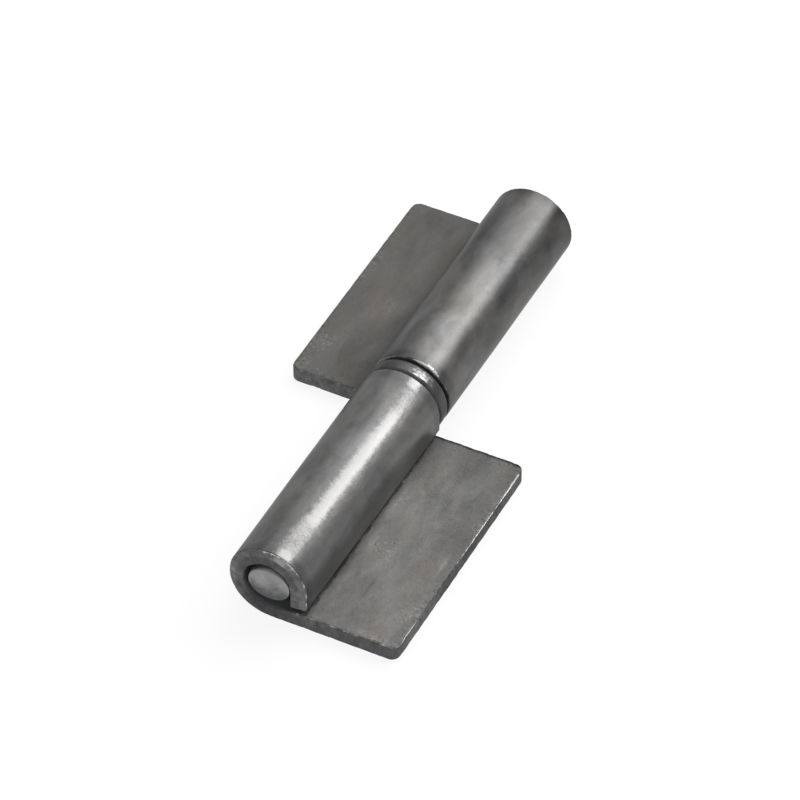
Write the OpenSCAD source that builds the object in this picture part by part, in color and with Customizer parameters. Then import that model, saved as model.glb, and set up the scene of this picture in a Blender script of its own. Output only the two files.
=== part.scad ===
// Weld-on lift-off barrel hinge, lying open and flat.
// Two identical leaves are rolled from flat strip. One carries a pressed pin,
// the other drops over the pin, and a thrust washer keeps the two apart.
// The pin's axis runs along Y, and both weld faces lie on the plane Z = 0.

/* [Leaf] */
// Length of each leaf along the pin
leaf_len = 48; // [30:1:90]
// Thickness of the steel strip
strip_t = 3; // [2:0.1:4]
// Distance from the pin's axis to the leaf's outer edge
leaf_reach = 23.5; // [16:0.5:45]
// Radius of the leaf's two outer corners, seen from above
corner_r = 1.6; // [0.4:0.1:4]
// Chamfer along the leaf's sheared outer edge
edge_break = 0.3; // [0.1:0.05:0.6]

/* [Knuckle] */
// Inside diameter of the rolled knuckle
bore_d = 9; // [7:0.1:12]
// Slot left open between the end of the rolled lip and the plate
lip_slot = 1.2; // [0.4:0.1:2]
// Chamfer on the outer corner of the lip's cut end
lip_break = 0.7; // [0.2:0.1:1]
// Chamfer round the outside of the knuckle's two ends
rim_break = 0.4; // [0.1:0.05:0.6]

/* [Pin] */
// Radial clearance of the pin in the leaf that lifts off
run_clear = 0.07; // [0.02:0.01:0.1]
// How far the pin's pressed end sits inside the leaf that carries it
pin_recess = 0.1; // [0:0.1:2]
// How far the pin's tip stops short of the far end of the leaf that lifts off
tip_short = 6; // [2:0.5:15]
// How much the lead-in cone takes off the pin's radius at its pressed end
lead_depth = 0.65; // [0.3:0.05:1]
// Length of the lead-in cone at the pressed end
lead_len = 2.2; // [1:0.1:4]
// How much the cone at the tip takes off the pin's radius
tip_depth = 1.4; // [0.5:0.1:2]
// Length of the cone at the tip
tip_len = 2.6; // [1:0.1:5]

/* [Washer] */
// Thickness of the thrust washer
washer_t = 3.2; // [2:0.1:5]
// How far the washer's rim lies inside the knuckle's rim
washer_inset = 0.05; // [0:0.05:0.5]
// Radius of the washer's rounded outer edges
washer_round = 0.9; // [0.3:0.1:0.9]
// Radial clearance of the washer on the pin
washer_clear = 0.1; // [0.05:0.05:0.5]

/* [Play] */
// Gap between the washer and the leaf that carries the pin
seat_gap = 0.05; // [0.02:0.01:0.1]
// Free gap between the washer and the leaf that lifts off
end_float = 0.4; // [0.2:0.1:1]

/* [Hidden] */
$fn = 96;
bore_r = bore_d / 2;
knuckle_r = bore_r + strip_t;
roll_angle = 270;
lip_len = bore_r - lip_slot;
half_gap = (seat_gap + washer_t + end_float) / 2;
leaf_end = half_gap + leaf_len;
run_r = bore_r - run_clear;
washer_bore_r = run_r + washer_clear;
washer_r = knuckle_r - washer_inset;
// How far a cutter runs past the metal it cuts
over = 1;
leaf_grey = [0.47, 0.47, 0.46];
pin_grey = [0.60, 0.60, 0.61];
washer_grey = [0.52, 0.52, 0.51];

// Puts what is drawn round Z onto the pin's axis, starting at the given Y.
module on_axis(y) {
    translate([0, y, knuckle_r]) rotate([-90, 0, 0]) children();
}

// The strip's flat part, from under the axis to its chamfered outer edge.
module plate_section() {
    polygon([
        [0, -knuckle_r],
        [leaf_reach - edge_break, -knuckle_r],
        [leaf_reach, -knuckle_r + edge_break],
        [leaf_reach, -bore_r - edge_break],
        [leaf_reach - edge_break, -bore_r],
        [0, -bore_r]
    ]);
}

// Three quarters of a turn of the strip round the bore.
module roll_section() {
    difference() {
        circle(r = knuckle_r);
        circle(r = bore_r);
        translate([0, -knuckle_r - over]) square(knuckle_r + over);
    }
}

// The strip's last stretch, which the roll leaves straight and short of the plate.
module lip_section() {
    polygon([
        [bore_r, 0],
        [bore_r, -lip_len],
        [knuckle_r - lip_break, -lip_len],
        [knuckle_r, -lip_len + lip_break],
        [knuckle_r, 0]
    ]);
}

// What a rounded corner leaves of a square one.
module corner_waste() {
    difference() {
        square(corner_r + over);
        circle(r = corner_r);
    }
}

// A bar along X with a 45 degree face, which chamfers the edge that it lies on.
module edge_cutter(length) {
    rotate([90, 0, 90]) linear_extrude(length)
        polygon([[-over, -over], [rim_break + over, -over], [-over, rim_break + over]]);
}

// Chamfers the strip's outer face where it meets the cut end at Y = 0:
// along the plate's underside, round the roll and down the lip.
module rim_cutter() {
    edge_cutter(leaf_reach + over);
    on_axis(0) rotate([0, 0, -roll_angle]) rotate_extrude(angle = roll_angle)
        polygon([
            [knuckle_r - rim_break - over, -over],
            [knuckle_r + over, -over],
            [knuckle_r + over, rim_break + over]
        ]);
    translate([knuckle_r, 0, knuckle_r]) rotate([0, 90, 0]) mirror([0, 0, 1])
        edge_cutter(lip_len + over);
}

// One rolled leaf, with a cut end at Y = 0 and its plate towards +X.
module rolled_leaf() {
    difference() {
        translate([0, leaf_len, knuckle_r]) rotate([90, 0, 0]) linear_extrude(leaf_len) {
            plate_section();
            roll_section();
            lip_section();
        }
        for (end = [0, 1]) translate([0, end * leaf_len, 0]) mirror([0, end, 0]) {
            rim_cutter();
            translate([leaf_reach - corner_r, corner_r, -over]) mirror([0, 1, 0])
                linear_extrude(strip_t + 2 * over) corner_waste();
        }
    }
}

// The leaf that is welded to the frame and carries the pin.
module pin_leaf() {
    color(leaf_grey) translate([0, -leaf_end, 0]) rolled_leaf();
}

// The same leaf turned end for end, which is welded to the door and lifts off.
module socket_leaf() {
    color(leaf_grey) rotate([0, 0, 180]) translate([0, -leaf_end, 0]) rolled_leaf();
}

// A turned pin: full size where it is pressed in, thinner where it runs.
module hinge_pin() {
    press_len = leaf_len - pin_recess;
    pin_len = 2 * leaf_end - pin_recess - tip_short;
    color(pin_grey) on_axis(pin_recess - leaf_end) rotate_extrude()
        polygon([
            [0, 0],
            [bore_r - lead_depth, 0],
            [bore_r, lead_len],
            [bore_r, press_len],
            [run_r, press_len],
            [run_r, pin_len - tip_len],
            [run_r - tip_depth, pin_len],
            [0, pin_len]
        ]);
}

// A turned ring with rounded outer edges, loose on the pin.
module thrust_washer() {
    round_r = washer_r - washer_round;
    color(washer_grey) on_axis(seat_gap - half_gap) rotate_extrude() {
        translate([washer_bore_r, 0]) square([round_r - washer_bore_r, washer_t]);
        translate([round_r, washer_round])
            square([washer_round, washer_t - 2 * washer_round]);
        for (y = [washer_round, washer_t - washer_round])
            translate([round_r, y]) circle(r = washer_round);
    }
}

pin_leaf();
socket_leaf();
hinge_pin();
thrust_washer();
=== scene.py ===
import math

import bpy
import numpy as np
from mathutils import Euler, Matrix, Vector, noise


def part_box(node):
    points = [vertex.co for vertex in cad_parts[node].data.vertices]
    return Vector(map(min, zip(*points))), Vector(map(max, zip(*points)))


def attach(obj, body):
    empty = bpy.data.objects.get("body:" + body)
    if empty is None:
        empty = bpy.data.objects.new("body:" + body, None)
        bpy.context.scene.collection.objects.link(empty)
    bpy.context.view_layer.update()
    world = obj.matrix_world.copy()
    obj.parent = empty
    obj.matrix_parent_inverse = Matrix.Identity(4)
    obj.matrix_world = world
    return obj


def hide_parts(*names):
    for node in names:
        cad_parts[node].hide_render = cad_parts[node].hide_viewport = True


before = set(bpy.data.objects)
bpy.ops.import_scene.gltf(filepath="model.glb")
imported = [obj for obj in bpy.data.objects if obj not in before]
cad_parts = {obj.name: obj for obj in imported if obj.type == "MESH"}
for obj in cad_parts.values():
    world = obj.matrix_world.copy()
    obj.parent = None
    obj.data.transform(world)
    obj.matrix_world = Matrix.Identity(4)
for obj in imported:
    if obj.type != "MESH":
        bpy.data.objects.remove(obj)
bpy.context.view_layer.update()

# Camera
# The hinge is seen from the near end, a little to the right and well above, through a long lens.
# The place and the turn are those at which its outline falls on the outline in the photograph.
VIEW_AZIMUTH = math.radians(27.27)
VIEW_ELEVATION = math.radians(44.00)
VIEW_ROLL = math.radians(-0.418)
CAMERA_PLACE = (0.29751, -0.57944, 0.63577)
SENSOR_WIDTH = 36.0
LENS = 238.98

lens = bpy.data.cameras.new("camera")
lens.sensor_width = SENSOR_WIDTH
lens.lens = LENS
camera = bpy.data.objects.new("camera", lens)
aim = Euler((math.pi / 2 - VIEW_ELEVATION, 0, VIEW_AZIMUTH)).to_matrix()
aim = aim @ Euler((0, 0, VIEW_ROLL)).to_matrix()
camera.rotation_euler = aim.to_euler()
camera.location = CAMERA_PLACE
bpy.context.scene.collection.objects.link(camera)
bpy.context.scene.camera = camera


# Leaf with the pin
# The nearer leaf is one piece of raw hot-rolled strip, sheared to length and rolled three quarters
# round the pin that is pressed into it. Its end stays straight, as a lip that stops above the plate.
MM = 0.001
leaf_low, leaf_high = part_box("pin_leaf")
KNUCKLE_R = leaf_high.z / 2
STRIP_T = 3.0 * MM
LIP_GAP = 1.2 * MM
LIP_LEN = KNUCKLE_R - STRIP_T - LIP_GAP
ROLL_TURN = 1.5 * math.pi
ROLL_LEN = ROLL_TURN * (KNUCKLE_R - STRIP_T / 2)
ROLL_END = LIP_LEN + ROLL_LEN
BLANK_LEN = ROLL_END + leaf_high.x
LEAF_LEN = leaf_high.y - leaf_low.y

# The mesh is made as the leaf is: a flat blank is rolled up. A point of the blank lies u along the
# strip from the lip's end, v along the pin from the leaf's first end, and w in from the outer skin.
# Its grid is finer in a zone along each edge, which is where the edge is rounded.
PITCH_U = 0.26 * MM
PITCH_V = 0.4 * MM
EDGE_ZONE = 0.7 * MM
EDGE_STEPS = 4


def stations(length, pitch):
    """Grid lines across one side of a blank, closer together where its edges are rounded."""
    turns = [math.tan(math.pi / 4 * (1 - k / EDGE_STEPS)) for k in range(EDGE_STEPS)]
    near = EDGE_ZONE * (1 - np.array(turns))
    count = round((length - 2 * EDGE_ZONE) / pitch)
    middle = np.linspace(EDGE_ZONE, length - EDGE_ZONE, count + 1)
    return np.concatenate([near, middle, length - near[::-1]])


def block_skin(u, v, w):
    """The grid points on the skin of a block, and the quads that close it."""
    count = (len(u), len(v), len(w))
    on_skin = np.zeros(count, bool)
    for axis in range(3):
        for end in (0, -1):
            np.moveaxis(on_skin, axis, 0)[end] = True
    number = np.full(count, -1)
    number[on_skin] = np.arange(on_skin.sum())
    i, j, k = np.nonzero(on_skin)
    quads = []
    for axis in range(3):
        for end in (0, -1):
            side = np.moveaxis(number, axis, 0)[end]
            ring = np.stack([side[:-1, :-1], side[1:, :-1], side[1:, 1:], side[:-1, 1:]], axis=-1)
            ring = ring.reshape(-1, 4)
            quads.append(ring[:, ::-1] if (end == 0) != (axis == 1) else ring)
    return u[i], v[j], w[k], np.concatenate(quads)


NOISE_REACH = 1.6
SEED_STEPS = (3.71, 1.93, 2.57)


def waves(points, size, seed):
    """Smooth random height, about -1 to 1, at each point, with features of the given size."""
    start = Vector([seed * step for step in SEED_STEPS])
    return np.array([noise.noise(Vector(p) / size + start) for p in points]) * NOISE_REACH


def smooth(value, low, high):
    """Goes from 0 at low to 1 at high, with soft ends."""
    t = np.clip((value - low) / (high - low), 0, 1)
    return t * t * (3 - 2 * t)


def mixed(share, first, second):
    """Goes from first to second as share goes from 0 to 1."""
    return first + (second - first) * share


def table(value, pairs):
    """Reads a table of (place, number) pairs, in between as well, and past its ends as at them."""
    return np.interp(value, *zip(*pairs))


def from_sides(u, v, w):
    """How far each point of the blank lies from the nearer side, along, across and through it."""
    return np.minimum(u, BLANK_LEN - u), np.minimum(v, LEAF_LEN - v), np.minimum(w, STRIP_T - w)


# How large each edge of the strip is rounded, and where along it one size gives way to the next
UNDER_ROUND = 0.3 * MM
TOP_ROUND = 0.24 * MM
TOP_END_ROUND = 1.4 * TOP_ROUND
LIP_ROUND = 0.66 * MM
LIP_INNER_ROUND = 0.15 * MM
ROLL_TO_PLATE = (ROLL_END - 2 * MM, ROLL_END + 1 * MM)
LIP_TO_MOUTH = (LIP_LEN + 1 * MM, LIP_LEN + 7 * MM)
EDGE_BLEND = 0.2 * MM


def edge_size(u, v, w, rims, mouths):
    """How large the edge nearest to each point is rounded.

    rims and mouths are for the outer and the inner edge of the knuckle, at its first and last end.
    """
    du, dv, _ = from_sides(u, v, w)
    skin = w < STRIP_T / 2
    first = v < LEAF_LEN / 2
    at_lip = u < BLANK_LEN / 2
    rolled_part = 1 - smooth(u, *ROLL_TO_PLATE)
    mouth = mixed(smooth(u, *LIP_TO_MOUTH), LIP_INNER_ROUND, np.where(first, *mouths))
    end_skin = mixed(rolled_part, UNDER_ROUND, np.where(first, *rims))
    end_inner = mixed(rolled_part, TOP_END_ROUND, mouth)
    long_skin = np.where(at_lip, LIP_ROUND, UNDER_ROUND)
    long_inner = np.where(at_lip, LIP_INNER_ROUND, TOP_ROUND)
    end_nearer = (1 + np.tanh((du - dv) / (2 * EDGE_BLEND))) / 2
    return mixed(end_nearer, np.where(skin, long_skin, long_inner), np.where(skin, end_skin, end_inner))


# How far past the edge zone the grid is shifted, so that it closes up on a small rounding
EASE_ZONE = 0.8 * MM


def eased(depth, reach, size):
    """Depth below a side once the edge next to it has been rounded to the given size."""
    inside = size + (depth - EDGE_ZONE) * (EDGE_ZONE + EASE_ZONE - size) / EASE_ZONE
    inside = np.where(depth > EDGE_ZONE + EASE_ZONE, depth, inside)
    return np.where(depth < EDGE_ZONE, size * (1 - reach), inside)


# Corners of the blank, and how wear, chips and the shear's ragged cut spoil its edges
CORNER_R = 1.6 * MM
LIP_CORNER_R = 0.35 * MM
WEAR_SPACING = 2.2 * MM
WEAR_SHARE = 0.25
CHIP_SPACING = 0.8 * MM
CHIP_START = 0.1
CHIP_SHARE = 0.6
LEAST_ROUND = 0.05 * MM
RAGGED_DEPTH = 0.016 * MM
RAGGED_SPACING = 1.3 * MM
RAGGED_STRETCH = (1, 1, 0.35)
RAGGED_REACH = 0.5 * MM


def rounded_blank(u, v, w, size, seed):
    """The flat blank with worn, uneven edges and rounded corners."""
    du, dv, dw = from_sides(u, v, w)
    places = np.stack([u, v, w], axis=1)
    wear = waves(places, WEAR_SPACING, seed)
    chips = np.clip(waves(places, CHIP_SPACING, seed + 1) - CHIP_START, 0, None)
    size = np.clip(size * (1 + WEAR_SHARE * wear + CHIP_SHARE * chips), LEAST_ROUND, EDGE_ZONE)
    reach_u, reach_v, reach_w = (np.clip(EDGE_ZONE - depth, 0, None) for depth in (du, dv, dw))
    reach = np.hypot(np.maximum(reach_u, reach_v), reach_w)
    reach = np.where(reach > 0, reach, 1)
    in_u = eased(du, reach_u / reach, size)
    in_v = eased(dv, reach_v / reach, size)
    in_w = eased(dw, reach_w / reach, size)
    corner = np.where(u > BLANK_LEN / 2, CORNER_R, LIP_CORNER_R)
    corner_u = corner - in_u
    corner_v = corner - in_v
    at_corner = (corner_u > 0) & (corner_v > 0)
    shrink = np.maximum(corner_u, corner_v) / np.hypot(corner_u, corner_v)
    in_u = np.where(at_corner, corner - corner_u * shrink, in_u)
    in_v = np.where(at_corner, corner - corner_v * shrink, in_v)
    ragged = RAGGED_DEPTH * (1 + waves(places * RAGGED_STRETCH, RAGGED_SPACING, seed + 2))
    in_u = in_u + ragged * np.exp(-du / RAGGED_REACH)
    in_v = in_v + ragged * np.exp(-dv / RAGGED_REACH)
    out_u = np.where(u > BLANK_LEN / 2, BLANK_LEN - in_u, in_u)
    out_v = np.where(v > LEAF_LEN / 2, LEAF_LEN - in_v, in_v)
    out_w = np.where(w < STRIP_T / 2, in_w, STRIP_T - in_w)
    return out_u, out_v, out_w


# The angle round the pin from which the lip starts to lean in
CURL_START = math.radians(-10)


def crown_angle(u):
    """Angle round the pin from the knuckle's top, with 90 degrees at the lip and -180 underneath."""
    return ROLL_TURN * (1 - np.clip((u - LIP_LEN) / ROLL_LEN, 0, 1)) - math.pi


def rolled(u, v, w, curl):
    """Where a point of the flat blank lies once the blank is rolled: x, y from its first end, z."""
    crown = crown_angle(u)
    radius = KNUCKLE_R - w
    down = np.clip(LIP_LEN - u, 0, None)
    out = np.clip(u - ROLL_END, 0, None)
    lean = mixed(v / LEAF_LEN, *curl)
    x = out + radius * np.sin(crown) - lean * smooth(crown, CURL_START, math.pi / 2)
    return np.stack([x, v, KNUCKLE_R + radius * np.cos(crown) - down], axis=1)


# The worn slope at the plate's outer edge, the sag of the strip, and the uneven mouth of the bore
SLOPE_WIDTH = 0.5 * MM
SLOPE_CURVE = 1.5
SAG_DEPTH = 0.03 * MM
SAG_SPACING = 8 * MM
DENT_DEPTH = 0.007 * MM
DENT_SPACING = 3 * MM
SAG_STRETCH = (1, 0.6, 1)
SAG_MARGIN = 0.8 * MM
MOUTH_DEPTH = 2.2 * MM
MOUTH_TO_PLATE = (ROLL_END + 1 * MM, ROLL_END + 5 * MM)


def leaf_points(u, v, w, seed, turned_round, curl, rims, mouths, mouth_off, slope):
    """Where the points of the blank lie on the finished leaf.

    turned_round puts the leaf end for end, with its plate on the other side. curl is how far the
    lip leans in at its two ends. mouth_off is how far the bore's mouth at the first end lies aside,
    up and opened out. slope is how deep the plate's top slopes off at its outer edge, at places
    along the leaf. rims and mouths go to edge_size.
    """
    places = np.stack([u, v, w], axis=1)
    du, dv, dw = from_sides(u, v, w)
    flat_u, flat_v, flat_w = rounded_blank(u, v, w, edge_size(u, v, w, rims, mouths), seed)
    sloped = np.clip(1 - (BLANK_LEN - u) / SLOPE_WIDTH, 0, 1) ** SLOPE_CURVE
    flat_w = flat_w - table(v / LEAF_LEN, slope) * sloped * (w / STRIP_T) ** 2
    sag = SAG_DEPTH * waves(places * SAG_STRETCH, SAG_SPACING, seed + 3)
    sag += DENT_DEPTH * waves(places * SAG_STRETCH, DENT_SPACING, seed + 4)
    from_edge = np.hypot(np.minimum(du, dv), dw)
    points = rolled(flat_u, flat_v, flat_w + sag * np.clip(from_edge / SAG_MARGIN, 0, 1), curl)
    aside, up, opened = mouth_off
    crown = crown_angle(u)
    at_mouth = np.clip(1 - v / MOUTH_DEPTH, 0, 1) * w / STRIP_T
    at_mouth = at_mouth * (1 - smooth(u, *MOUTH_TO_PLATE))
    points[:, 0] += at_mouth * (aside + opened * np.sin(crown))
    points[:, 2] += at_mouth * (up + opened * np.cos(crown))
    points[:, 2] = np.clip(points[:, 2], 0, None)
    points[:, 1] += leaf_low.y
    if turned_round:
        points[:, :2] *= -1
    return points


# How far each mark of the finish reaches. The painted shade in the crease beside the lip and the
# inside of the bore are placed by millimetres out along the plate from under the pin.
ROLL_FADE = 4 * MM
CUT_BLEND = 1.2 * MM
RIM_WEAR_AND_GLINT_REACH = 0.9 * MM
BORDER_REACH = 1.2 * MM
BORE_SIDE = 5
BORE_EDGE = (0.5 * MM, 0.1 * MM)
CREVICE_SHADE_START = 4
CREVICE_SHADE_END = 6.6
CREVICE_SHADE_RAGGED = 0.28
CREVICE_SHADE_SPACING = 1.0 * MM
CREVICE_SHADE_SOFT = 0.3
SEED_SHIFT = 20 * MM


def smudged(tone, along, across, smudges):
    """Adds patches: place along the leaf, place across, half length, half width, how much paler."""
    for middle, side, half_len, half_width, paler in smudges:
        spot = ((along - middle) / half_len) ** 2 + ((across - side) / half_width) ** 2
        tone = tone * (1 + paler * np.exp(-spot))
    return tone


def leaf_marks(u, v, w, seed, tones, highlight_drift, smudges, wear, rub_and_highlight):
    """What the finish of a leaf reads at each point.

    tones are tables of how pale the finish is: round the roll and along it, out along the plate and
    along the leaf, round the cut end and out along it, along the outer edge, and round the bore and
    into it. The tones round the roll are painted light, shade and highlight; out along the plate they
    are painted light beside the near leaf's knuckle and painted shade beside the far leaf's; round
    the bore and into it they are painted light and shade. drift is how many degrees the tones round
    the roll, with their painted highlight, wander to one side. smudges are patches on the roll, by mm
    and degrees, among them painted shade at the highlight's edge, and on the plate, by mm. wear are
    tables of how far the edges are worn bright, partly real wear and partly a painted glint where the
    light catches them. rub is the bright line along the roll, partly real wear and partly a painted
    highlight: place along the leaf, angle, half width and strength. Places along the leaf go from 0
    to 1, apart from those in mm.
    """
    places = np.stack([u, v, w], axis=1)
    du, dv, dw = from_sides(u, v, w)
    to_side = np.minimum(du, dv)
    from_edge = np.hypot(to_side, dw)
    skin = w < STRIP_T / 2
    along = v / LEAF_LEN
    crown = np.degrees(crown_angle(u))
    out = np.clip(u - ROLL_END, 0, None) / MM
    on_roll = (1 - smooth(u, ROLL_END - ROLL_FADE, ROLL_END)) * skin

    # Round the roll the tone is painted light, shade and highlight, and the drift moves it round the roll
    # along the leaf.
    roll_tone = table(crown - table(along, highlight_drift), tones["light_and_shade_round_roll"])
    roll_tone = smudged(roll_tone * table(along, tones["along_roll"]), v / MM, crown, smudges["roll"])
    # Out along the plate the tone is painted light beside the near leaf's knuckle and painted shade beside
    # the far leaf's.
    plate_tone = table(out, tones["light_and_shade_across_plate"]) * table(along, tones["along_plate"])
    plate_tone = smudged(plate_tone, v / MM, out, smudges["plate"])

    at_outer_edge = (BLANK_LEN - u < dv) & (u > BLANK_LEN / 2)
    face_tone = table(crown, tones["round_face"]) * table(out, tones["out_face"])
    face_tone = np.where(at_outer_edge, table(along, tones["outer_edge"]), face_tone)
    # The edges are worn bright partly for real and partly as a painted glint, brightest where the light
    # catches them.
    end_wear_and_glint = [table(crown, wear[end]) for end in ("first_end", "last_end")]
    bare_and_glint = np.where(v < LEAF_LEN / 2, *end_wear_and_glint)
    bare_and_glint = np.where(at_outer_edge, table(along, wear["outer_edge"]), bare_and_glint)
    bare_and_glint = np.where(at_outer_edge & skin, wear["underside"], bare_and_glint)

    angle, half_width, strength = (table(along, [(row[0], row[k]) for row in rub_and_highlight]) for k in (1, 2, 3))
    # Painted shade in the crease under the lip: the plate's top from 4 mm out to about 6.6 mm, fading past
    # it with a ragged edge.
    past_crevice_shade = out - CREVICE_SHADE_END - CREVICE_SHADE_RAGGED * waves(places, CREVICE_SHADE_SPACING, seed + 5)
    painted_shade = np.exp(-(np.clip(past_crevice_shade, 0, None) / CREVICE_SHADE_SOFT) ** 2)
    return {
        "blank": places + (0, 0, seed * SEED_SHIFT),
        "cut": np.clip(0.5 + (dw - to_side) / CUT_BLEND, 0, 1),
        # The rim mark is partly real wear and partly a painted glint where the light catches the edges.
        "rim": np.exp(-from_edge / RIM_WEAR_AND_GLINT_REACH) * bare_and_glint,
        "border": np.exp(-to_side / BORDER_REACH),
        "roll": on_roll,
        "tone": mixed(on_roll, plate_tone, roll_tone),
        "face_tone": face_tone,
        # The bore is painted lighter round its sides and bottom than at its top, and darker near its mouth,
        # as light and shade.
        "bore_light_and_shade": table(crown, tones["painted_light_round_bore"]) * table(v / MM, tones["painted_shade_into_bore"]),
        # The bright line along the roll is partly real wear and partly a painted highlight, set where the
        # light falls.
        "rubbed_and_highlight": np.exp(-((crown - angle) / half_width) ** 2) * on_roll * strength,
        "inside": (out < BORE_SIDE) * ~skin * smooth(dw, *BORE_EDGE),
        # The painted shade in the crease under the lip
        "painted_shade": painted_shade * (out > CREVICE_SHADE_START) * ~skin,
    }


def make_piece(name, points, quads, marks):
    """A smooth mesh piece. marks holds what its finish reads at each point, as numbers or vectors."""
    mesh = bpy.data.meshes.new(name)
    mesh.from_pydata(points.tolist(), [], quads.tolist())
    for key, values in marks.items():
        vector = values.ndim == 2
        layer = mesh.attributes.new(key, "FLOAT_VECTOR" if vector else "FLOAT", "POINT")
        layer.data.foreach_set("vector" if vector else "value", values.astype(np.float32).ravel())
    mesh.shade_smooth()
    piece = bpy.data.objects.new(name, mesh)
    bpy.context.scene.collection.objects.link(piece)
    return piece


def rolled_leaf(name, seed, shape, looks):
    """One whole leaf. shape goes to leaf_points and looks to leaf_marks."""
    u, v, w, quads = block_skin(stations(BLANK_LEN, PITCH_U), stations(LEAF_LEN, PITCH_V),
                                stations(STRIP_T, PITCH_U))
    points = leaf_points(u, v, w, seed, **shape)
    return make_piece(name, points, quads, leaf_marks(u, v, w, seed, **looks))


def node(tree, kind, inputs=None, **settings):
    """Adds a node. Its inputs take a number or colour as it is, and a socket as a link."""
    made = tree.nodes.new(kind)
    for key, value in settings.items():
        setattr(made, key, value)
    for key, value in (inputs or {}).items():
        if isinstance(value, bpy.types.NodeSocket):
            tree.links.new(value, made.inputs[key])
        else:
            made.inputs[key].default_value = value
    return made


def mark(tree, name):
    """What the mesh says at each point under that name."""
    return node(tree, "ShaderNodeAttribute", attribute_name=name)


def grain(tree, place, size, detail=3.0, rough=0.55, bend=0.0):
    """Noise from 0 to 1 with features of the given size."""
    inputs = {"Vector": place, "Scale": 1 / size, "Detail": detail, "Roughness": rough, "Distortion": bend}
    return node(tree, "ShaderNodeTexNoise", inputs).outputs["Fac"]


def ramp(tree, value, low, high, to_low=0.0, to_high=1.0):
    """Takes low..high to to_low..to_high, with soft ends."""
    inputs = {0: value, 1: low, 2: high, 3: to_low, 4: to_high}
    return node(tree, "ShaderNodeMapRange", inputs, interpolation_type="SMOOTHSTEP").outputs[0]


def between(tree, share, at_none, at_all):
    """Goes from at_none to at_all as share goes from 0 to 1, with soft ends."""
    return ramp(tree, share, 0.0, 1.0, at_none, at_all)


def maths(tree, operation, first, second=0.0):
    """One step of arithmetic on two numbers."""
    return node(tree, "ShaderNodeMath", {0: first, 1: second}, operation=operation).outputs[0]


def product(tree, *factors):
    """All the factors multiplied."""
    result = factors[0]
    for factor in factors[1:]:
        result = maths(tree, "MULTIPLY", result, factor)
    return result


def total(tree, *parts):
    """All the parts added up."""
    result = parts[0]
    for part in parts[1:]:
        result = maths(tree, "ADD", result, part)
    return result


def swing(tree, value, reach):
    """Turns noise round 0.5 into a swing of about that reach round 0."""
    return product(tree, maths(tree, "SUBTRACT", value, 0.5), 2 * reach)


def swings(tree, noises, reaches):
    """Adds up the swings of the noises that reaches names, each to its own reach."""
    return total(tree, *(swing(tree, noises[name], reach) for name, reach in reaches.items()))


def weighted(tree, noises, weights):
    """Adds up the noises that weights names, each times its own weight."""
    return total(tree, *(product(tree, noises[name], weight) for name, weight in weights.items()))


def blended(tree, factor, first, second, how="MIX"):
    """Goes from the first colour to the second as factor goes from 0 to 1."""
    inputs = {"Factor": factor, 6: first, 7: second}
    return node(tree, "ShaderNodeMix", inputs, data_type="RGBA", blend_type=how).outputs[2]


def toned(tree, colour, tone):
    """A colour made paler or darker by a tone, which leaves it as it is at 1."""
    return blended(tree, 1.0, colour, tone, "MULTIPLY")


def stretched(tree, place, stretch):
    """The same places with each axis scaled, for marks that run one way."""
    return node(tree, "ShaderNodeMapping", {"Vector": place, "Scale": stretch}).outputs[0]


def grey(value, warm=0.0, green=0.0):
    """A steel grey. warm above 0 is browner, below 0 bluer. green above 0 is greener."""
    return (value * (1 + warm), value * (1 + green), value * (1 - warm), 1)


def new_finish(name):
    """A material for one finish, and its nodes."""
    material = bpy.data.materials.new(name)
    material.use_nodes = True
    return material, material.node_tree


def join_up(tree, colour, rough, height, depth, metallic, glint=1.0):
    """Joins up a steel finish. depth is how deep its relief is, and glint how pale its gloss is."""
    shader = tree.nodes["Principled BSDF"]
    bump = node(tree, "ShaderNodeBump", {"Height": height, "Strength": 1.0, "Distance": depth})
    tree.links.new(colour, shader.inputs["Base Color"])
    tree.links.new(rough, shader.inputs["Roughness"])
    tree.links.new(bump.outputs[0], shader.inputs["Normal"])
    shader.inputs["Metallic"].default_value = metallic
    shader.inputs["Specular Tint"].default_value = grey(glint)


LEAF_MARKS = (
    "cut", "rim", "border", "roll", "tone", "face_tone", "bore_light_and_shade", "rubbed_and_highlight", "inside", "painted_shade")

# Noises of the rolled scale: feature size, detail, roughness and distortion. The first three are
# drawn out along the leaf, and the last two are stretched far enough to make lines.
CLOUDS = (6.5 * MM, 3, 0.5, 0.5)
PATCHES = (2.6 * MM, 4, 0.6, 0.6)
TINTS = (4.5 * MM, 3, 0.6, 0.6)
MOTTLE = (1.0 * MM, 4, 0.65)
GRIT = (0.3 * MM, 2, 0.6)
FLECKS = (0.4 * MM, 2, 0.55)
SCRATCHES = (0.3 * MM, 2, 0.5)
STREAKS = (0.4 * MM, 3, 0.7)
DRAWN_OUT = (1.0, 0.42, 1.0)
SCRATCH_STRETCH = (1.0, 0.06, 1.0)
STREAK_STRETCH = (1.0, 1.0, 0.2)

# How far the noises push the tone, and how far they fray the border of each mark
CLOUDY_TONE = {"clouds": 1.0, "patches": 0.7}
SANDY_TONE = {"mottle": 0.6, "grit": 1.0}
LEAST_TONE = 0.2
# The crease under the lip is painted shade.
CREVICE_SHADE_FRAY = {"mottle": 0.9, "grit": 0.5}
CUT_FRAY = {"patches": 0.12, "mottle": 0.3, "grit": 0.2}
# The worn edges are partly a painted glint.
WEAR_AND_GLINT_FRAY = {"patches": 0.4, "mottle": 0.55, "grit": 0.35}
# The rubbed line along the roll is partly a painted highlight.
RUB_AND_HIGHLIGHT_FRAY = {"patches": 0.25, "mottle": 0.35, "grit": 0.35}

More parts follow.
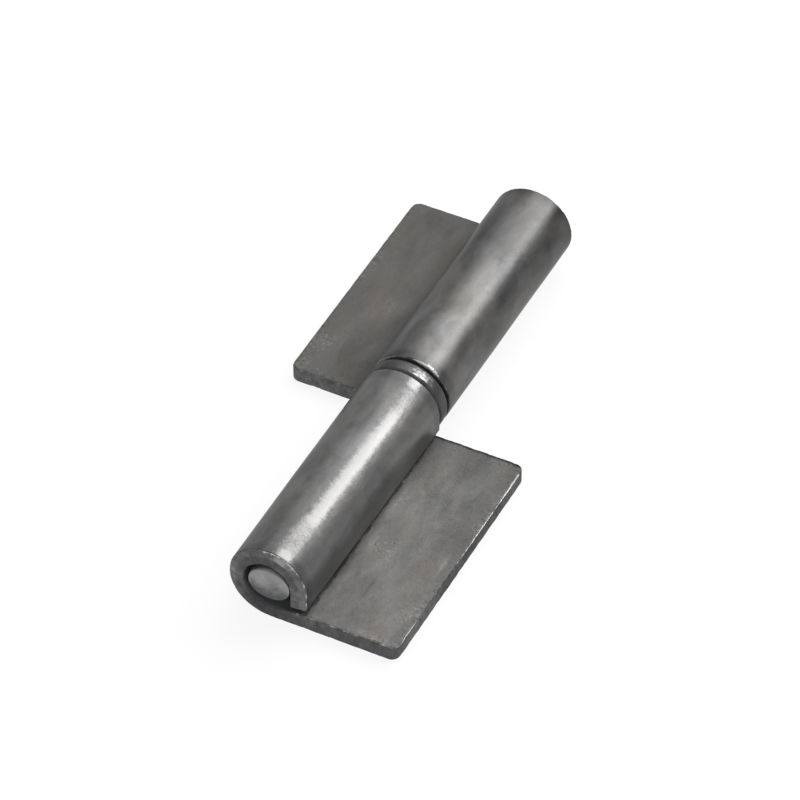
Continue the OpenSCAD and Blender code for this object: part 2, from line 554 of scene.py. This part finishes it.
# Between which two values each mark fades in, and what it multiplies the tone by
TINT_FADE = (0.36, 0.64)
FLECKED_CLOUDS = 0.9
FLECKED_BORDER = 0.72
FLECKED_FADE = (0.1, 0.45)
FLECKED_ROLL = 0.35
DARK_FLECK_FADE = (0.42, 0.34)
DARK_FLECK_TONE = 0.62
PALE_FLECK_FADE = (0.59, 0.67)
PALE_FLECK_TONE = 1.5
SCRATCH_FADE = (0.64, 0.72)
SCRATCHED_PATCHES = (0.5, 0.65)
SCRATCH_TONE = 1.15
# Painted shade in the crease under the lip
CREVICE_SHADE_FADE = (0.45, 0.8)
CREVICE_SHADE_TONE = 0.5
CUT_FADE = (0.36, 0.46)
# The worn edges are partly a painted glint.
WEAR_AND_GLINT_FADE = (0.72, 0.95)
# The rubbed line along the roll is partly a painted highlight.
RUB_AND_HIGHLIGHT_FADE = (0.2, 0.95)
RUB_AND_HIGHLIGHT_BORDER = (0.02, 0.25)

# The sheared faces: the tones of their dull and fresh patches, and of the streaks and mottle on them
FACE_PATCHES = (0.35, 0.65)
DULL_FACE = 0.8
DULL_FACE_WARM = -0.01
FRESH_FACE = 1.2
FRESH_FACE_WARM = 0.005
STREAK_TONES = (0.3, 0.7, 0.9, 1.1)
MOTTLE_TONES = (0.3, 0.7, 0.78, 1.22)

# Bare metal and the inside of the bore, how rough each part is, and the relief
BARE_WARM = 0.01
BORE_COLOUR = grey(0.17, -0.06, -0.02)
PLATE_ROUGH = 0.6
ROLL_ROUGH = 0.35
PATCH_ROUGH = 0.1
CUT_ROUGH = 0.1
WORN_ROUGH = 0.3
STEEL_RELIEF = {"patches": 1.2, "mottle": 0.5, "grit": 0.16}
FLECK_PITS = -0.3
STREAK_RELIEF = 1.2
RELIEF_DEPTH = 0.03 * MM
STEEL_METALLIC = 0.7
STEEL_GLINT = 0.5


def raw_steel(name, plate, roll, cut_face, worn, rub_and_highlight_grey, cloudy, sandy, ragged, plate_tints, roll_tints):
    """Hot-rolled steel with its scale left on: cloudy, speckled and worn bright at its edges, partly as a
    painted glint.

    plate, roll, cut_face, worn and shine are how pale the plate, the roll, the sheared faces, the
    edges worn bright, partly a painted glint, and the bright line along the roll, partly a painted
    highlight, are. cloudy and sandy are how uneven it is in patches and in grain, on the plate and on
    the roll. ragged is how broken the bright line along the roll is. The leaf's marks add painted
    shade in the crease beside the lip and painted light and shade in the bore.
    The tints are how warm and how green its cool and its brown patches are.
    """
    material, tree = new_finish(name)
    place = mark(tree, "blank").outputs["Vector"]
    marks = {key: mark(tree, key).outputs["Fac"] for key in LEAF_MARKS}
    on_roll = marks["roll"]
    drawn = stretched(tree, place, DRAWN_OUT)
    clouds = grain(tree, drawn, *CLOUDS)
    patches = grain(tree, drawn, *PATCHES)
    mottle = grain(tree, place, *MOTTLE)
    grit = grain(tree, place, *GRIT)
    noises = {"clouds": clouds, "patches": patches, "mottle": mottle, "grit": grit}

    # The scale: cool and brown tints, clouds, and grain
    brown = ramp(tree, grain(tree, drawn, *TINTS), *TINT_FADE)
    plate_skin = blended(tree, brown, *(grey(plate, *tint) for tint in plate_tints))
    roll_skin = blended(tree, brown, *(grey(roll, *tint) for tint in roll_tints))
    skin = blended(tree, on_roll, plate_skin, roll_skin)
    patchy = product(tree, swings(tree, noises, CLOUDY_TONE), between(tree, on_roll, *cloudy))
    grainy = product(tree, swings(tree, noises, SANDY_TONE), between(tree, on_roll, *sandy))
    uneven = maths(tree, "MAXIMUM", total(tree, 1.0, patchy, grainy), LEAST_TONE)

    # Flecks near the borders, scratches along the leaf, and painted shade in the crease beside the lip
    borders = maths(tree, "MAXIMUM", marks["border"], marks["painted_shade"])
    flecked = total(tree, swing(tree, clouds, FLECKED_CLOUDS), product(tree, borders, FLECKED_BORDER))
    flecked = product(tree, ramp(tree, flecked, *FLECKED_FADE), between(tree, on_roll, 1.0, FLECKED_ROLL))
    flecks = grain(tree, place, *FLECKS)
    dark_flecks = product(tree, ramp(tree, flecks, *DARK_FLECK_FADE), flecked)
    pale_flecks = product(tree, ramp(tree, flecks, *PALE_FLECK_FADE), flecked)
    scratches = grain(tree, stretched(tree, place, SCRATCH_STRETCH), *SCRATCHES)
    scratches = product(tree, ramp(tree, scratches, *SCRATCH_FADE), ramp(tree, patches, *SCRATCHED_PATCHES))
    painted_shade = ramp(tree, total(tree, marks["painted_shade"], swings(tree, noises, CREVICE_SHADE_FRAY)), *CREVICE_SHADE_FADE)
    tone = product(tree, marks["tone"], uneven,
                   between(tree, dark_flecks, 1.0, DARK_FLECK_TONE),
                   between(tree, pale_flecks, 1.0, PALE_FLECK_TONE),
                   between(tree, scratches, 1.0, SCRATCH_TONE),
                   between(tree, painted_shade, 1.0, CREVICE_SHADE_TONE))

    # The sheared faces, streaked through their thickness
    streaks = grain(tree, stretched(tree, place, STREAK_STRETCH), *STREAKS)
    face = blended(tree, ramp(tree, patches, *FACE_PATCHES),
                   grey(cut_face * DULL_FACE, DULL_FACE_WARM),
                   grey(cut_face * FRESH_FACE, FRESH_FACE_WARM))
    face_tone = product(tree, marks["face_tone"], ramp(tree, streaks, *STREAK_TONES),
                        ramp(tree, mottle, *MOTTLE_TONES))
    cut = ramp(tree, total(tree, marks["cut"], swings(tree, noises, CUT_FRAY)), *CUT_FADE)
    colour = blended(tree, cut, toned(tree, skin, tone), toned(tree, face, face_tone))

    # The rubbed line, partly a painted highlight, the bare edges, partly a painted glint, and the
    # inside of the bore, with painted light and shade
    rub_and_highlight_fray = product(tree, swings(tree, noises, RUB_AND_HIGHLIGHT_FRAY), ragged)
    line_wear_and_highlight = ramp(tree, total(tree, marks["rubbed_and_highlight"], rub_and_highlight_fray), *RUB_AND_HIGHLIGHT_FADE)
    line_wear_and_highlight = product(tree, line_wear_and_highlight, ramp(tree, marks["rubbed_and_highlight"], *RUB_AND_HIGHLIGHT_BORDER))
    edge_wear_and_glint = ramp(tree, total(tree, marks["rim"], swings(tree, noises, WEAR_AND_GLINT_FRAY)), *WEAR_AND_GLINT_FADE)
    colour = blended(tree, line_wear_and_highlight, colour, grey(rub_and_highlight_grey, BARE_WARM))
    colour = blended(tree, edge_wear_and_glint, colour, grey(worn, BARE_WARM))
    # The inside of the bore takes painted light and shade from its tone.
    colour = blended(tree, marks["inside"], colour, toned(tree, BORE_COLOUR, marks["bore_light_and_shade"]))

    # How rough it is, and its relief
    rough = total(tree, between(tree, on_roll, PLATE_ROUGH, ROLL_ROUGH), swing(tree, patches, PATCH_ROUGH),
                  product(tree, cut, CUT_ROUGH))
    rough = between(tree, edge_wear_and_glint, rough, WORN_ROUGH)
    height = total(tree, weighted(tree, noises, STEEL_RELIEF), product(tree, dark_flecks, FLECK_PITS),
                   product(tree, streaks, cut, STREAK_RELIEF))
    join_up(tree, colour, rough, height, RELIEF_DEPTH, STEEL_METALLIC, STEEL_GLINT)
    return material


# Each pair starts with a place: degrees from the knuckle's top for what goes round the roll, the cut
# ends or the bore, mm for what goes out along the plate or into the bore, and 0 to 1 from the first
# end to the last for what goes along the leaf. After it comes how pale, bare or deep it is there.
pin_leaf_shape = {
    "turned_round": False,
    "curl": (0.48 * MM, 0.12 * MM),
    "rims": (0.42 * MM, 0.22 * MM),
    "mouths": (0.2 * MM, 0.3 * MM),
    "mouth_off": (-0.22 * MM, -0.42 * MM, 0.1 * MM),
    "slope": ((0, 0.16 * MM), (0.3, 0.1 * MM), (0.5, 0.24 * MM), (0.97, 0.24 * MM), (1, 0)),
}
pin_leaf_looks = {
    "tones": {
        # Round the roll these tones are painted light, shade and highlight.
        "light_and_shade_round_roll": (
            (-45, 0.8), (-25, 1.05), (-15, 0.97), (0, 0.76), (20, 1.0), (35, 1.1), (40, 1.5), (46, 1.3),
            (54, 0.95), (62, 0.85), (75, 1.1), (90, 1.0)),
        "along_roll": ((0, 0.78), (0.025, 0.78), (0.045, 1), (0.95, 1), (0.965, 0.76), (1, 0.78)),
        # Out along the plate, painted light beside the knuckle
        "light_and_shade_across_plate": (
            (0, 1), (7, 1.45), (8, 1.45), (10, 1.17), (12, 1.08), (14, 1.03), (20, 1), (23.5, 0.95)),
        "along_plate": ((0, 1), (0.8, 1), (0.88, 0.88), (0.9815, 0.8), (0.984, 0.1), (1, 0.1)),
        "round_face": (
            (-180, 0.78), (-150, 0.6), (-140, 0.8), (-115, 1.0), (-90, 1.75), (-60, 1.0), (15, 0.93),
            (30, 1.2), (60, 1.11), (80, 1.38)),
        "out_face": ((0, 1), (3, 1.12), (4.5, 1.38), (7, 1.48), (10, 1.48), (12, 1.34), (23.5, 1.34)),
        "outer_edge": (
            (0, 1.25), (0.25, 1.25), (0.33, 0.84), (0.38, 0.76), (0.8, 0.76), (0.86, 1.05), (1, 1.05)),
        # Round the bore and into it, painted light and shade
        "painted_light_round_bore": ((-180, 1.7), (-90, 1.7), (-60, 1.4), (-20, 1.1), (45, 1.1), (60, 1.3), (90, 1.5)),
        "painted_shade_into_bore": ((0, 0.3), (0.6, 0.35), (1.5, 0.8), (2.5, 1), (48, 1)),
    },
    "highlight_drift": ((0, 0), (1, 0)),
    "smudges": {
        # The first roll patch is painted shade at the highlight's edge.
        "roll": (
            (35.7, 2, 5, 9, -0.28), (45.6, 5, 1.2, 12, -0.2), (1.2, 40, 1.0, 7, -0.35),
            (44, 80, 5, 12, -0.15)),
        "plate": (
            (33.8, 22, 9, 3, -0.2), (21.8, 11.5, 4, 3, -0.16), (25.8, 16, 6, 2, 0.12),
            (37.8, 13, 4, 2, 0.2), (11.3, 13, 2.4, 0.22, -0.35), (21, 21.6, 2.5, 0.35, 0.4),
            (0.8, 19.5, 0.8, 4, 0.25), (40, 8.5, 7, 1.2, -0.12)),
    },
    # The worn edges are partly real wear and partly a painted glint where the light catches them.
    "wear": {
        "first_end": (
            (-180, 0.8), (-120, 0.55), (-60, 0.4), (-30, 0.75), (-15, 0.85), (5, 0.95), (15, 0.95),
            (22, 0.8), (30, 1.15), (38, 1.2), (46, 0.95), (60, 0.85), (90, 0.85)),
        "last_end": (
            (-180, 0.3), (-60, 0.7), (-30, 0.95), (10, 0.95), (20, 1.2), (30, 1.2), (45, 0.6), (90, 0.85)),
        "outer_edge": (
            (0, 1.1), (0.12, 1.1), (0.17, 0.6), (0.35, 0.7), (0.48, 0.8), (0.52, 1.05), (0.78, 1.05),
            (0.84, 1.3), (0.95, 1.4), (0.965, 0.3), (1, 0.3)),
        "underside": 0.6,
    },
    # The rubbed line is partly real wear and partly a painted highlight that follows the light.
    "rub_and_highlight": (
        (0, 21, 14, 1.0), (0.035, 21, 12, 1.1), (0.05, 20, 16, 0.62), (0.19, 22, 15, 0.65),
        (0.22, 23, 12, 1.0), (0.6, 26, 11, 1.05), (0.8, 28, 11, 1.0), (0.84, 28, 12, 0.55),
        (0.95, 26, 14, 0.5), (0.965, 24, 10, 1.0), (1, 24, 10, 1.1)),
}
pin_leaf = rolled_leaf("rolled_pin_leaf", 3, pin_leaf_shape, pin_leaf_looks)
pin_leaf.data.materials.append(raw_steel(
    "pin_leaf_steel", plate=0.172, roll=0.16, cut_face=0.13, worn=0.65, rub_and_highlight_grey=0.34,
    cloudy=(0.65, 0.6), sandy=(0.37, 0.22), ragged=1.0,
    plate_tints=((0.016, 0.01), (0.046, 0)), roll_tints=((-0.008, -0.006), (0.022, 0.012))))
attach(pin_leaf, "frame_side")
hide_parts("pin_leaf")


# Leaf that lifts off
# The farther leaf is the same strip and roll turned end for end, and drops over the pin. Its scale
# is darker and a little brown, and its knuckle is duller than the near one.
EVEN = ((0, 1), (1, 1))
socket_leaf_shape = {
    "turned_round": True,
    "curl": (0, 0),
    "rims": (0.4 * MM, 0.35 * MM),
    "mouths": (0.3 * MM, 0.3 * MM),
    "mouth_off": (0, 0, 0),
    "slope": ((0, 0.08 * MM), (1, 0.08 * MM)),
}
socket_leaf_looks = {
    "tones": {
        # Round the roll these tones are painted light, shade and highlight.
        "light_and_shade_round_roll": (
            (-90, 0.95), (-60, 0.72), (-50, 0.82), (-30, 1.2), (-20, 1.26), (0, 0.77), (8, 0.8),
            (24, 1.0), (30, 0.86), (40, 0.72), (52, 0.96), (60, 0.82), (70, 0.55)),
        "along_roll": (
            (0, 0.5), (0.012, 0.55), (0.03, 0.76), (0.05, 0.87), (0.3, 0.87), (0.4, 1), (0.955, 1),
            (0.97, 0.8), (1, 0.8)),
        # Out along the plate, painted shade beside the knuckle
        "light_and_shade_across_plate": ((0, 0.7), (10.5, 0.7), (11, 0.74), (12, 0.85), (13, 0.96), (14, 1), (23.5, 1)),
        "along_plate": EVEN,
        "round_face": EVEN,
        "out_face": EVEN,
        "outer_edge": EVEN,
        "painted_light_round_bore": EVEN,
        "painted_shade_into_bore": EVEN,
    },
    # The drift moves the painted highlight round the roll along the leaf.
    "highlight_drift": (
        (0, 5), (0.05, 2), (0.12, -3), (0.2, -5), (0.4, -5), (0.47, 3), (0.6, 3), (0.66, -1),
        (0.74, 5), (0.8, 10), (0.88, 7), (0.95, 2), (1, 0)),
    "smudges": {
        "roll": (
            (1.2, 6, 1.6, 14, -0.22), (46.6, -48, 1.5, 10, -0.4), (24, -52, 3.5, 7, -0.25),
            (16, -50, 2, 7, -0.2), (2, -44, 3, 9, -0.42), (47, 15, 1, 14, -0.2)),
        "plate": (),
    },
    # The worn edges are partly real wear and partly a painted glint where the light catches them.
    "wear": {
        "first_end": ((-180, 0.3), (90, 0.4)),
        "last_end": (
            (-180, 0.7), (-110, 0.6), (-80, 0.6), (-60, 0.55), (-50, 0.7), (-40, 1.2), (-30, 2.0),
            (-15, 2.0), (-7, 1.3), (0, 0.85), (10, 0.6), (30, 0.4), (90, 0.3)),
        "outer_edge": ((0, 0.3), (1, 0.5)),
        "underside": 0.5,
    },
    # The rubbed line is partly real wear and partly a painted highlight that follows the light.
    "rub_and_highlight": (
        (0, -26, 8, 0.05), (0.3, -26, 9, 0.2), (0.45, -26, 10, 0.5), (0.8, -26, 10, 0.5),
        (1, -24, 12, 0.6)),
}
socket_leaf = rolled_leaf("rolled_socket_leaf", 17, socket_leaf_shape, socket_leaf_looks)
socket_leaf.data.materials.append(raw_steel(
    "socket_leaf_steel", plate=0.114, roll=0.14, cut_face=0.18, worn=0.65, rub_and_highlight_grey=0.22,
    cloudy=(0.48, 0.75), sandy=(0.16, 0.12), ragged=0.35,
    plate_tints=((0.021, 0.01), (0.061, 0)), roll_tints=((0.004, -0.006), (0.034, 0.012))))
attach(socket_leaf, "door_side")
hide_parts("socket_leaf")


# Pin
# A turned bar pressed into the near leaf. Its near end is cropped a little oval and softened at its
# edge, behind it comes a tapered lead, and the rest runs in the far leaf up to a coned tip.
pin_low, pin_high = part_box("hinge_pin")
RUN_CLEAR = 0.07 * MM
LEAD_DEPTH = 0.65 * MM
TIP_DEPTH = 1.4 * MM
PIN_R = (pin_high.x - pin_low.x) / 2
PIN_RUN_R = PIN_R - RUN_CLEAR
PIN_FACE_R = PIN_R - LEAD_DEPTH
PIN_TIP_R = PIN_RUN_R - TIP_DEPTH
PIN_STEP = (-1.9 * MM, -1.8 * MM)
PIN_PROUD = 0.05 * MM
PIN_EDGE = 0.2 * MM
PIN_LEAD = 2.2 * MM
PIN_TIP = 2.6 * MM
TIP_EDGE = 0.1 * MM
CENTRE_R = 0.05 * MM
FACE_ROWS = 14
EDGE_ARC_STEPS = 6
RUN_ROWS = 24
TIP_ROWS = 6

# How the cropped end departs from round: how much lower it is, how far it lies aside and up, and
# the length over which this fades out
CROP_SQUASH = 0.19
CROP_OFF = (-0.1 * MM, -0.2 * MM)
CROP_LEN = 2.0 * MM
TURNED_COUNT = 144


def arc(centre_y, centre_r, radius, start, end, steps):
    """Points (y, r) along an arc. Angles are from +y towards +r, in degrees."""
    angles = np.radians(np.linspace(start, end, steps + 1))
    return [(centre_y + radius * math.cos(a), centre_r + radius * math.sin(a)) for a in angles]


def swept(outline, closed):
    """An outline (y, r) swept round the pin: y, r and angle of each point, and the quads."""
    y = np.repeat(outline[:, 0], TURNED_COUNT)
    r = np.repeat(outline[:, 1], TURNED_COUNT)
    angle = np.tile(np.linspace(0, 2 * math.pi, TURNED_COUNT, endpoint=False), len(outline))
    number = np.arange(len(y)).reshape(len(outline), TURNED_COUNT)
    rows = np.concatenate([number, number[:1]]) if closed else number
    here = rows[:-1]
    there = rows[1:]
    quads = np.stack([here, np.roll(here, -1, 1), np.roll(there, -1, 1), there], axis=-1)
    return y, r, angle, quads.reshape(-1, 4)


def round_pin(y, r, angle):
    """Points at radius r and that angle from the top, round the pin's axis, which lies at 0."""
    return np.stack([r * np.sin(angle), y, r * np.cos(angle)], axis=1)


def pin_outline():
    """The pin from the middle of its near face, round its edge and along to its tip."""
    start = pin_low.y - PIN_PROUD
    end = pin_high.y
    face = [(start, r) for r in np.linspace(CENTRE_R, PIN_FACE_R - PIN_EDGE, FACE_ROWS)]
    edge = arc(start + PIN_EDGE, PIN_FACE_R - PIN_EDGE, PIN_EDGE, 180, 90, EDGE_ARC_STEPS)[1:]
    body = [(start + PIN_LEAD, PIN_R), (PIN_STEP[0], PIN_R), (PIN_STEP[1], PIN_RUN_R)]
    body += [(y, PIN_RUN_R) for y in np.linspace(0, end - PIN_TIP - MM, RUN_ROWS)]
    tip = [(end - PIN_TIP, PIN_RUN_R), (end - 2 * TIP_EDGE, PIN_TIP_R + TIP_EDGE)]
    tip += [(end, PIN_TIP_R - TIP_EDGE)]
    tip += [(end, r) for r in np.linspace(PIN_TIP_R - 3 * TIP_EDGE, CENTRE_R, TIP_ROWS)]
    return np.array(face + edge + body + tip)


def turned_pin():
    """The pin, squashed and a little off its axis where it was cropped."""
    y, r, angle, quads = swept(pin_outline(), closed=False)
    cropped = np.clip(1 - (y - y[0]) / CROP_LEN, 0, 1)
    r = r * (1 - CROP_SQUASH * np.cos(angle) ** 2 * cropped)
    points = round_pin(y, r, angle)
    points[:, ::2] += cropped[:, None] * CROP_OFF
    return make_piece("turned_pin", points + (0, 0, KNUCKLE_R), quads, {"place": points})


# Noises and tones of the pin's end and of its run. The face is painted darker towards its bottom,
# and the run darker than the face, as shade.
SMEARS = (2.6 * MM, 3, 0.55, 0.5)
PIN_MOTTLE = (0.8 * MM, 4, 0.6)
PIN_GRIT = (0.2 * MM, 2)
TURNING_RINGS = (0.5 * MM, 3, 0.6)
RING_STRETCH = (0.3, 6.0, 0.3)
FACE_BORDER = (0.15 * MM, 0.4 * MM)
PIN_FACE_SHADE = (3.0 * MM, -3.4 * MM)
PIN_FACE_SHADE_FRAY = 0.45
PIN_FACE_SHADE_FADE = (0.2, 1.0)
UNSHADED_PIN_FACE = grey(0.31)
SHADED_PIN_FACE = grey(0.11, -0.02)
SHADED_RUN_COLOUR = grey(0.2)
PIN_TONE = {"mottle": 0.14, "grit": 0.08}
SMEAR_ROUGH = (0.3, 0.7, 0.42, 0.55)
PIN_RELIEF = {"mottle": 0.5, "rings": 0.5}
PIN_RELIEF_DEPTH = 0.02 * MM
PIN_METALLIC = 0.85


def pin_steel():
    """Turned bar: a pale dull face with smears on it, painted darker towards its bottom as shade, and a
    smooth run painted darker than the face, as shade.
    """
    material, tree = new_finish("pin_steel")
    place = mark(tree, "place").outputs["Vector"]
    parts = node(tree, "ShaderNodeSeparateXYZ", {0: place}).outputs
    smears = grain(tree, place, *SMEARS)
    noises = {
        "mottle": grain(tree, place, *PIN_MOTTLE),
        "grit": grain(tree, place, *PIN_GRIT),
        "rings": grain(tree, stretched(tree, place, RING_STRETCH), *TURNING_RINGS),
    }
    # The face is painted darker towards its bottom, as shade, its edge frayed by the smears.
    painted_shade = total(tree, ramp(tree, parts["Z"], *PIN_FACE_SHADE), swing(tree, smears, PIN_FACE_SHADE_FRAY))
    colour = blended(tree, ramp(tree, painted_shade, *PIN_FACE_SHADE_FADE), UNSHADED_PIN_FACE, SHADED_PIN_FACE)
    colour = toned(tree, colour, total(tree, 1.0, swings(tree, noises, PIN_TONE)))
    # Past the face, its edge, lead and run are painted darker, as shade in the bore's mouth.
    off_face = ramp(tree, parts["Y"], *(pin_low.y + depth for depth in FACE_BORDER))
    colour = blended(tree, off_face, colour, SHADED_RUN_COLOUR)
    rough = ramp(tree, smears, *SMEAR_ROUGH)
    join_up(tree, colour, rough, weighted(tree, noises, PIN_RELIEF), PIN_RELIEF_DEPTH, PIN_METALLIC)
    return material


pin = turned_pin()
pin.data.materials.append(pin_steel())
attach(pin, "frame_side")
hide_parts("hinge_pin")


# Thrust washer
# A loose turned steel ring with a full round rim, dropped over the pin. It carries the far leaf on
# the near one, and its crown is rubbed bright, partly as a painted highlight.
washer_low, washer_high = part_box("thrust_washer")
WASHER_CLEAR = 0.1 * MM
WASHER_R = (washer_high.x - washer_low.x) / 2
WASHER_BORE_R = PIN_RUN_R + WASHER_CLEAR
WASHER_ROUND = 0.9 * MM
WASHER_EDGE = 0.2 * MM
FACE_MARGIN = 0.3 * MM
RIM_STEPS = 8
BORE_STEPS = 3
WASHER_FACE_ROWS = 4
SWELL_DEPTH = 0.01 * MM
SWELL_SPACING = 2.5 * MM
WASHER_SEED = 9

# Where the crown is rubbed, partly as a painted highlight: angle from the top, half width round it
# and along it, and place along it
RUB_AND_HIGHLIGHT_ANGLE = math.radians(24.5)
RUB_AND_HIGHLIGHT_WIDTH = math.radians(21)
RUB_AND_HIGHLIGHT_HALF = 0.85 * MM
RUB_AND_HIGHLIGHT_OFF = 0.1 * MM


def washer_outline():
    """The ring's section: two flat faces, a bore and a barrelled rim."""
    low = washer_low.y
    high = washer_high.y
    edge_r = WASHER_BORE_R + WASHER_EDGE
    face_r = np.linspace(WASHER_R - WASHER_ROUND - FACE_MARGIN, edge_r, WASHER_FACE_ROWS)
    rim = arc(low + WASHER_ROUND, WASHER_R - WASHER_ROUND, WASHER_ROUND, 180, 90, RIM_STEPS)
    rim += arc(high - WASHER_ROUND, WASHER_R - WASHER_ROUND, WASHER_ROUND, 90, 0, RIM_STEPS)
    face = [(high, r) for r in face_r]
    bore = arc(high - WASHER_EDGE, edge_r, WASHER_EDGE, 0, -90, BORE_STEPS)[1:]
    bore += arc(low + WASHER_EDGE, edge_r, WASHER_EDGE, 270, 180, BORE_STEPS)
    back = [(low, r) for r in face_r[::-1]][1:]
    return np.array(rim + face + bore + back)


def turned_washer():
    """The ring, very slightly uneven, with a mark where its crown is worn bright, partly a painted
    highlight.
    """
    y, r, angle, quads = swept(washer_outline(), closed=True)
    r = r - np.abs(SWELL_DEPTH * waves(round_pin(y, r, angle), SWELL_SPACING, WASHER_SEED))
    points = round_pin(y, r, angle)
    off_angle = np.angle(np.exp(1j * (angle - RUB_AND_HIGHLIGHT_ANGLE)))
    off_middle = y + RUB_AND_HIGHLIGHT_OFF - (washer_low.y + washer_high.y) / 2
    rubbed_and_highlight = np.exp(-(off_angle / RUB_AND_HIGHLIGHT_WIDTH) ** 2 - (off_middle / RUB_AND_HIGHLIGHT_HALF) ** 2)
    marks = {"place": points, "rubbed_and_highlight": rubbed_and_highlight}
    return make_piece("turned_washer", points + (0, 0, KNUCKLE_R), quads, marks)


# Noises and tones of the washer, and how its scuff, partly a painted highlight, breaks up
WASHER_PATCHES = (3 * MM, 3, 0.5)
WASHER_MOTTLE = (0.9 * MM, 4, 0.6)
WASHER_GRIT = (0.25 * MM, 2, 0.6)
TURNING_MARKS = (0.4 * MM, 3, 0.6)
MARKS_STRETCH = (0.3, 2.0, 0.3)
PATCH_FADE = (0.3, 0.7)
DARK_RING = grey(0.065, -0.01)
PALE_RING = grey(0.1)
WASHER_TONE = {"mottle": 0.15, "grit": 0.1}
SCUFF_AND_HIGHLIGHT_FRAY = {"around": 0.35, "mottle": 0.4, "grit": 0.2}
SCUFF_AND_HIGHLIGHT_FADE = (0.25, 0.85)
SCUFF_AND_HIGHLIGHT_BORDER = (0.05, 0.4)
SCUFF_AND_HIGHLIGHT_COLOUR = grey(0.72)
WASHER_ROUGH = 0.42
WASHER_PATCH_ROUGH = 0.06
WASHER_RELIEF = {"around": 0.3, "mottle": 0.3, "scuffs_and_highlight": -0.2}


def washer_steel():
    """Turned ring: dark and smooth, with faint marks round it and a bright scuff on its crown, partly a
    painted highlight.
    """
    material, tree = new_finish("washer_steel")
    place = mark(tree, "place").outputs["Vector"]
    rubbed_and_highlight = mark(tree, "rubbed_and_highlight").outputs["Fac"]
    patches = grain(tree, place, *WASHER_PATCHES)
    noises = {
        "mottle": grain(tree, place, *WASHER_MOTTLE),
        "grit": grain(tree, place, *WASHER_GRIT),
        "around": grain(tree, stretched(tree, place, MARKS_STRETCH), *TURNING_MARKS),
    }
    # The scuff on the crown is partly real and partly a painted highlight.
    scuffs_and_highlight = ramp(tree, total(tree, rubbed_and_highlight, swings(tree, noises, SCUFF_AND_HIGHLIGHT_FRAY)), *SCUFF_AND_HIGHLIGHT_FADE)
    noises["scuffs_and_highlight"] = product(tree, scuffs_and_highlight, ramp(tree, rubbed_and_highlight, *SCUFF_AND_HIGHLIGHT_BORDER))
    colour = blended(tree, ramp(tree, patches, *PATCH_FADE), DARK_RING, PALE_RING)
    colour = toned(tree, colour, total(tree, 1.0, swings(tree, noises, WASHER_TONE)))
    colour = blended(tree, noises["scuffs_and_highlight"], colour, SCUFF_AND_HIGHLIGHT_COLOUR)
    rough = total(tree, WASHER_ROUGH, swing(tree, patches, WASHER_PATCH_ROUGH))
    height = weighted(tree, noises, WASHER_RELIEF)
    join_up(tree, colour, rough, height, RELIEF_DEPTH, STEEL_METALLIC, STEEL_GLINT)
    return material


washer = turned_washer()
washer.data.materials.append(washer_steel())
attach(washer, "washer")
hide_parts("thrust_washer")


# Floor
# A plain pale floor that the camera and the metal see as white, and that keeps a faint shadow.
# It only holds the hinge up to view and isn't part of it.
FLOOR_HALF = 10.0
FLOOR_DROP = 0.02 * MM
FLOOR_COLOUR = (0.8, 0.8, 0.8, 1)
SHADE_COLOUR = (0.15, 0.15, 0.15, 1)
WHITE_SHARE = 0.87

floor_mesh = bpy.data.meshes.new("floor")
corners = [(x * FLOOR_HALF, y * FLOOR_HALF, -FLOOR_DROP) for x, y in ((-1, -1), (1, -1), (1, 1), (-1, 1))]
floor_mesh.from_pydata(corners, [], [(0, 1, 2, 3)])
floor = bpy.data.objects.new("floor", floor_mesh)
bpy.context.scene.collection.objects.link(floor)
pale_floor, tree = new_finish("pale_floor")
tree.nodes.remove(tree.nodes["Principled BSDF"])
matt = node(tree, "ShaderNodeBsdfDiffuse", {"Color": FLOOR_COLOUR}).outputs[0]
shade = node(tree, "ShaderNodeBsdfDiffuse", {"Color": SHADE_COLOUR}).outputs[0]
white = node(tree, "ShaderNodeEmission", {"Strength": WHITE_SHARE}).outputs[0]
seen = node(tree, "ShaderNodeAddShader", {0: shade, 1: white}).outputs[0]
ray = node(tree, "ShaderNodeLightPath").outputs
looking = maths(tree, "MAXIMUM", ray["Is Camera Ray"], ray["Is Glossy Ray"])
looking = maths(tree, "MAXIMUM", looking, ray["Is Transmission Ray"])
surface = node(tree, "ShaderNodeMixShader", {0: looking, 1: matt, 2: seen}).outputs[0]
tree.links.new(surface, tree.nodes["Material Output"].inputs["Surface"])
floor_mesh.materials.append(pale_floor)


# Light
# Three soft lights stand side by side behind the hinge and lean over it, in an even pale surround.
# The right one is the brightest and the left one the weakest.
SURROUND = 0.55
LIGHT_LEAN = math.radians(40)
LIGHT_DISTANCE = 0.7
LIGHT_DEPTH = 0.6

world = bpy.data.worlds.new("surround")
bpy.context.scene.world = world
world.use_nodes = True
world.node_tree.nodes["Background"].inputs["Color"].default_value = (1, 1, 1, 1)
world.node_tree.nodes["Background"].inputs["Strength"].default_value = SURROUND


def soft_light(name, turn, width, radiance):
    """A flat light that faces the hinge. turn is its angle round the pin from the top, in degrees."""
    light = bpy.data.lights.new(name, "AREA")
    light.shape = "RECTANGLE"
    light.size = width
    light.size_y = LIGHT_DEPTH
    light.energy = radiance * math.pi * width * LIGHT_DEPTH
    aside = math.sin(math.radians(turn))
    above = math.cos(math.radians(turn))
    across = Vector((above, 0, -aside))
    back = Vector((aside * math.cos(LIGHT_LEAN), math.sin(LIGHT_LEAN), above * math.cos(LIGHT_LEAN)))
    placed = bpy.data.objects.new(name, light)
    placed.location = back * LIGHT_DISTANCE
    placed.rotation_euler = Matrix((across, back.cross(across), back)).transposed().to_euler()
    bpy.context.scene.collection.objects.link(placed)


soft_light("left_light", turn=-29, width=0.208, radiance=1.3)
soft_light("wide_light", turn=6, width=0.477, radiance=2.4)
soft_light("side_light", turn=38.5, width=0.16, radiance=4.6)

bpy.context.scene.view_settings.view_transform = "Standard"
